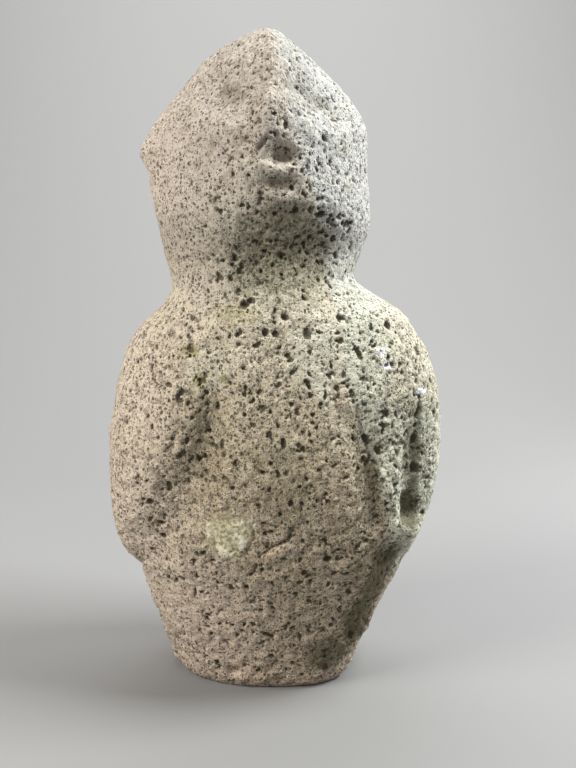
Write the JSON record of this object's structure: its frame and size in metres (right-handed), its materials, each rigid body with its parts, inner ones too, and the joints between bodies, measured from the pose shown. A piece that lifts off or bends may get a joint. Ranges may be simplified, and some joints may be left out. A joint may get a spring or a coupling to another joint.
{
  "type": "carved stone figure",
  "caption": "Standing figure carved from a block of pitted volcanic stone, with a gabled head, low-relief arms and a flat foot.",
  "frame": {"origin": "middle of the flat underside of the foot", "axes": "+Z from the foot to the crown, -Y out of the face, +X to the right of someone who looks at the face"},
  "size_m": [0.188, 0.1137, 0.36],
  "materials": {
    "vesicular_stone": "weathered vesicular basalt, dull and pitted all over, paler and greyer on the head and shoulders, browner on the trunk, with dark dirt in the pits and hollows"
  },
  "bodies": {
    "root": {"stone_figure": "vesicular_stone"}
  },
  "joints": []
}
